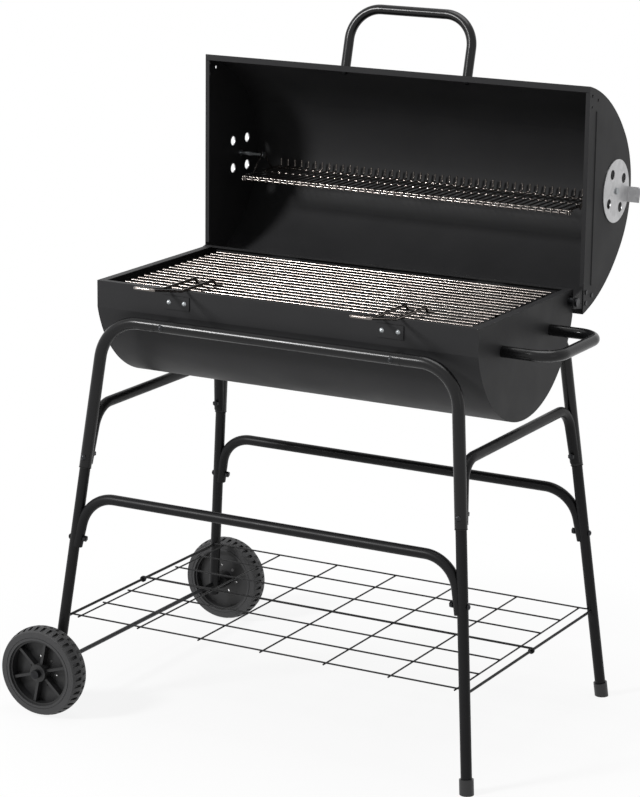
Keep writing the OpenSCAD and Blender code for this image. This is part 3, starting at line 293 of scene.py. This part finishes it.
legCorners = ("front_left", "front_right", "rear_left", "rear_right")
legs = {corner: legLine("lower_leg_" + corner, legTube) for corner in legCorners}
legJointZ = {corner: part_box("upper_leg_" + corner)[0][2] for corner in legCorners}


def legWidth(corner, height):
    # the leg's diameter in mm at a height
    return legTube["upperMm" if height > legJointZ[corner] else "lowerMm"]


def roundedPath(corners, radius, straightSteps, bendSteps):
    # points and directions along straights joined by arcs
    path = []
    start = corners[0]
    for i in range(1, len(corners) - 1):
        wayIn = (corners[i] - corners[i - 1]).normalized()
        wayOut = (corners[i + 1] - corners[i]).normalized()
        turn = wayIn.angle(wayOut)
        tangent = corners[i] - wayIn * radius * math.tan(turn / 2)
        toCentre = (wayOut - wayIn * wayIn.dot(wayOut)).normalized()
        path += [(start.lerp(tangent, k / straightSteps), wayIn) for k in range(straightSteps)]
        for k in range(bendSteps):
            angle = turn * k / bendSteps
            path.append((tangent + toCentre * radius * (1 - math.cos(angle)) + wayIn * radius * math.sin(angle),
                         wayIn * math.cos(angle) + toCentre * math.sin(angle)))
        start = corners[i] + wayOut * radius * math.tan(turn / 2)
    way = (corners[-1] - start).normalized()
    return path + [(start.lerp(corners[-1], k / straightSteps), way) for k in range(straightSteps + 1)]


# Each brace's ends are pressed into saddles that hug the legs: the tube runs into the leg's
# outline and its wall there folds back onto the leg.
braceLook = {
    "tubeMm": 19,
    "endInMm": 6,        # from the leg's middle line to the brace's, at its lower end
    "topInMm": 15,       # the same where the bend's two straights would meet
    "seatMm": 0.15,
    "sides": 40,
    "straightSteps": 18,
    "bendSteps": 18,
    "sharpFrom": 50,
}
braces = {
    # node: its two legs, bend radius in mm
    "front_brace": ("front_left", "front_right", 65),
    "rear_brace": ("rear_left", "rear_right", 65),
    "left_brace": ("front_left", "rear_left", 45),
    "right_brace": ("front_right", "rear_right", 45),
}


def braceHeights(node, look):
    low, high = (Vector(corner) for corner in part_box(node))
    return low.z, high.z - look["tubeMm"] / 2 * millimetre


def acrossTo(fromLeg, toLeg):
    gap = legs[toLeg][0] - legs[fromLeg][0]
    if abs(gap.x) > abs(gap.y):
        return Vector((math.copysign(1, gap.x), 0, 0))
    return Vector((0, math.copysign(1, gap.y), 0))


def pressedBrace(node, look):
    first, last, radiusMm = braces[node]
    endZ, topZ = braceHeights(node, look)
    inward = acrossTo(first, last)
    endIn, topIn = (look[k] * millimetre for k in ("endInMm", "topInMm"))
    corners = [onLeg(legs[first], endZ) + inward * endIn, onLeg(legs[first], topZ) + inward * topIn,
               onLeg(legs[last], topZ) - inward * topIn, onLeg(legs[last], endZ) - inward * endIn]
    path = roundedPath(corners, radiusMm * millimetre, look["straightSteps"], look["bendSteps"])
    flat = (corners[1] - corners[0]).cross(corners[2] - corners[1]).normalized()
    tubeRadius = look["tubeMm"] / 2 * millimetre
    legRadius = (legWidth(first, endZ) / 2 + look["seatMm"]) * millimetre
    sides = look["sides"]
    corner = []
    for i, (middle, way) in enumerate(path):
        leg, side = (legs[first], inward) if i < len(path) / 2 else (legs[last], -inward)
        up = way.cross(flat)
        for k in range(sides):
            angle = 2 * math.pi * k / sides
            point = middle + (flat * math.cos(angle) + up * math.sin(angle)) * tubeRadius
            offset = point - onLeg(leg, point.z)
            depth = offset.dot(side)
            aside = (offset - side * depth).length
            if aside < legRadius:
                point += side * max(math.sqrt(legRadius ** 2 - aside ** 2) - depth, 0)
            corner.append(point)
    rings = len(path)
    faces = [(i * sides + k, i * sides + (k + 1) % sides, (i + 1) * sides + (k + 1) % sides, (i + 1) * sides + k)
             for i in range(rings - 1) for k in range(sides)]
    faces += [tuple(reversed(range(sides))), tuple((rings - 1) * sides + k for k in range(sides))]
    mesh = bpy.data.meshes.new(node)
    mesh.from_pydata(corner, [], faces)
    return smoothed(mesh, look["sharpFrom"])


for node in braces:
    brace = addPiece("pressed_" + node, pressedBrace(node, braceLook), "frame", "satinPowder")
    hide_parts(node)
print("braces pressed onto the legs")


# Where a fastener's inner end lies, seen from the leg's middle line.
innerEnd = {"asideMm": 20, "nearMm": 18, "farMm": 60}


def seatFasteners(node, look):
    # a copy of the CAD fasteners whose inner ends come up to the pressed braces
    mesh = nodes[node].data.copy()
    moved = 0
    for brace, (first, last, _) in braces.items():
        endZ, topZ = braceHeights(brace, look)
        inward = acrossTo(first, last)
        widest, nearest, farthest = (innerEnd[k] * millimetre for k in ("asideMm", "nearMm", "farMm"))
        for leg, side in ((first, inward), (last, -inward)):
            wholeIn = (legWidth(leg, endZ) + look["tubeMm"]) / 2 * millimetre
            for vertex in mesh.vertices:
                offset = vertex.co - onLeg(legs[leg], vertex.co.z)
                depth = offset.dot(side)
                aside = (offset - side * depth).length
                if endZ < vertex.co.z < topZ and aside < widest and nearest < depth < farthest:
                    share = (vertex.co.z - endZ) / (topZ - endZ)
                    pressedIn = (look["endInMm"] + (look["topInMm"] - look["endInMm"]) * share) * millimetre
                    vertex.co -= side * (wholeIn - pressedIn)
                    moved += 1
    print(node, "points moved:", moved)
    return mesh


for node in ("frame_bolts", "frame_nuts"):
    fasteners = addPiece("seated_" + node, seatFasteners(node, braceLook), "frame", "blackZinc")
    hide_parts(node)


# Where one tube's end meets the next, a shadow line runs round the joint.
jointLook = {"lineMm": 0.7, "sides": 48, "thickSides": 8, "sharpFrom": 80}


def jointLine(middle, way, radius, look):
    upright = way.orthogonal().normalized()
    sideways = way.cross(upright)
    thick = look["lineMm"] * millimetre
    corner = []
    for i in range(look["sides"]):
        angle = 2 * math.pi * i / look["sides"]
        out = upright * math.cos(angle) + sideways * math.sin(angle)
        for k in range(look["thickSides"]):
            turn = 2 * math.pi * k / look["thickSides"]
            corner.append(middle + out * (radius + thick * (math.cos(turn) - 0.5)) + way * thick * math.sin(turn))
    return corner


def addJointLines(look):
    radius = legTube["upperMm"] / 2 * millimetre
    rings = []
    for rail in ("front_rail", "rear_rail"):
        low, high = (Vector(corner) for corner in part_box(rail))
        middle = (low + high) / 2
        rings += [jointLine(Vector((x, middle.y, middle.z)), Vector((1, 0, 0)), radius, look)
                  for x in (low.x, high.x)]
    for name, line in legs.items():
        rings.append(jointLine(onLeg(line, legJointZ[name]), (line[1] - line[0]).normalized(), radius, look))
    around, thick = look["sides"], look["thickSides"]
    faces = []
    for r in range(len(rings)):
        at = r * around * thick
        faces += [(at + i * thick + k, at + (i + 1) % around * thick + k,
                   at + (i + 1) % around * thick + (k + 1) % thick, at + i * thick + (k + 1) % thick)
                  for i in range(around) for k in range(thick)]
    mesh = bpy.data.meshes.new("joint_lines")
    mesh.from_pydata([point for ring in rings for point in ring], [], faces)
    addPiece("joint_lines", smoothed(mesh, look["sharpFrom"]), "frame", "jointShadow")


addJointLines(jointLook)
print("joint lines added")


cameraLook = {
    "fromBarrel": (2.3976, -4.4215, 1.0573),   # from the middle of the firebox's rim
    "turn": 28.737,      # degrees to the right of straight on
    "rise": 14.121,      # degrees looking down
    "roll": 0.683,
    "lensMm": 131.417,
    "sensorMm": 36,
}


def addCamera(look):
    turn, rise, roll = (math.radians(look[k]) for k in ("turn", "rise", "roll"))
    back = Vector((math.sin(turn) * math.cos(rise), -math.cos(turn) * math.cos(rise), math.sin(rise)))
    right = Vector((math.cos(turn), math.sin(turn), 0))
    up = back.cross(right)
    tiltedRight = right * math.cos(roll) + up * math.sin(roll)
    tiltedUp = up * math.cos(roll) - right * math.sin(roll)
    data = bpy.data.cameras.new("camera")
    data.lens = look["lensMm"]
    data.sensor_width = look["sensorMm"]
    camera = bpy.data.objects.new("camera", data)
    axes = Matrix((tiltedRight, tiltedUp, back)).transposed()
    place = rimMiddle + Vector(look["fromBarrel"])
    camera.matrix_world = Matrix.Translation(place) @ axes.to_4x4()
    scene.collection.objects.link(camera)
    scene.camera = camera


addCamera(cameraLook)


# A pale sweep under soft lamps. The camera sees its far part as plain white, and near the
# grill it keeps the soft contact shadows.
studioLook = {
    "floorColour": "#f6f6f6",
    "floorSize": 14.0,
    "whiteNear": 0.88,     # how much of the floor the camera sees as plain white, by the grill
    "fadeFrom": 0.45,      # metres from the middle
    "fadeTo": 1.0,
    "worldDiffuse": 0.16,
    "lamps": [
        # name, place, aims at, size, watts
        ("keyLamp", (-2.4, -3.6, 3.2), (0, 0, 0.6), 0.9, 200),
        ("sideLamp", (3.6, -1.6, 1.6), (0, 0, 0.6), 1.6, 3),
        ("topLamp", (0.2, 0.4, 3.8), (0, 0, 0.6), 2.4, 60),
    ],
}


def addFloor(look):
    mesh = bpy.data.meshes.new("floor")
    half = look["floorSize"] / 2
    edge = [(-half, -half, 0), (half, -half, 0), (half, half, 0), (-half, half, 0)]
    mesh.from_pydata(edge, [], [(0, 1, 2, 3)])
    floor = bpy.data.objects.new("floor", mesh)
    scene.collection.objects.link(floor)
    material, tree, shader, place = newMaterial("paleFloor")
    fillInputs(tree, shader, {"Base Color": linear(look["floorColour"]), "Roughness": 0.9})
    rays = addNode(tree, "ShaderNodeLightPath")
    seen = addNode(tree, "ShaderNodeMath", {"operation": "MAXIMUM"}, {
        0: rays.outputs["Is Camera Ray"], 1: rays.outputs["Is Glossy Ray"]})
    clear = addNode(tree, "ShaderNodeMath", {"operation": "MAXIMUM"}, {
        0: seen.outputs["Value"], 1: rays.outputs["Is Transmission Ray"]})
    reach = addNode(tree, "ShaderNodeVectorMath", {"operation": "LENGTH"}, {0: place})
    near = addNode(tree, "ShaderNodeMapRange", {"interpolation_type": "SMOOTHSTEP"}, {
        "Value": reach.outputs["Value"], "From Min": look["fadeFrom"], "From Max": look["fadeTo"],
        "To Min": look["whiteNear"], "To Max": 1.0})
    share = addNode(tree, "ShaderNodeMath", {"operation": "MULTIPLY"}, {
        0: clear.outputs["Value"], 1: near.outputs["Result"]})
    white = addNode(tree, "ShaderNodeEmission", inputs={"Color": [1, 1, 1, 1], "Strength": 1.0})
    mix = addNode(tree, "ShaderNodeMixShader", inputs={
        0: share.outputs["Value"], 1: shader.outputs["BSDF"], 2: white.outputs["Emission"]})
    output = next(n for n in tree.nodes if n.type == "OUTPUT_MATERIAL")
    tree.links.new(mix.outputs["Shader"], output.inputs["Surface"])
    mesh.materials.append(material)


def addWorld(look):
    world = bpy.data.worlds.new("studio")
    world.use_nodes = True
    scene.world = world
    tree = world.node_tree
    tree.nodes.clear()
    rays = addNode(tree, "ShaderNodeLightPath")
    seen = addNode(tree, "ShaderNodeMath", {"operation": "MAXIMUM"}, {
        0: rays.outputs["Is Camera Ray"], 1: rays.outputs["Is Glossy Ray"]})
    clear = addNode(tree, "ShaderNodeMath", {"operation": "MAXIMUM"}, {
        0: seen.outputs["Value"], 1: rays.outputs["Is Transmission Ray"]})
    strength = addNode(tree, "ShaderNodeMapRange", inputs={
        "Value": clear.outputs["Value"], "To Min": look["worldDiffuse"], "To Max": 1.0})
    backdrop = addNode(tree, "ShaderNodeBackground", inputs={
        "Color": [1, 1, 1, 1], "Strength": strength.outputs["Result"]})
    addNode(tree, "ShaderNodeOutputWorld", inputs={"Surface": backdrop.outputs["Background"]})


def addLamps(look):
    for name, place, aim, size, watts in look["lamps"]:
        data = bpy.data.lights.new(name, "AREA")
        data.shape = "DISK"
        data.size = size
        data.energy = watts
        lamp = bpy.data.objects.new(name, data)
        lamp.location = place
        lamp.rotation_euler = (Vector(aim) - Vector(place)).to_track_quat("-Z", "Y").to_euler()
        scene.collection.objects.link(lamp)


addFloor(studioLook)
addWorld(studioLook)
addLamps(studioLook)
scene.view_settings.view_transform = "Standard"
print("camera and studio placed")
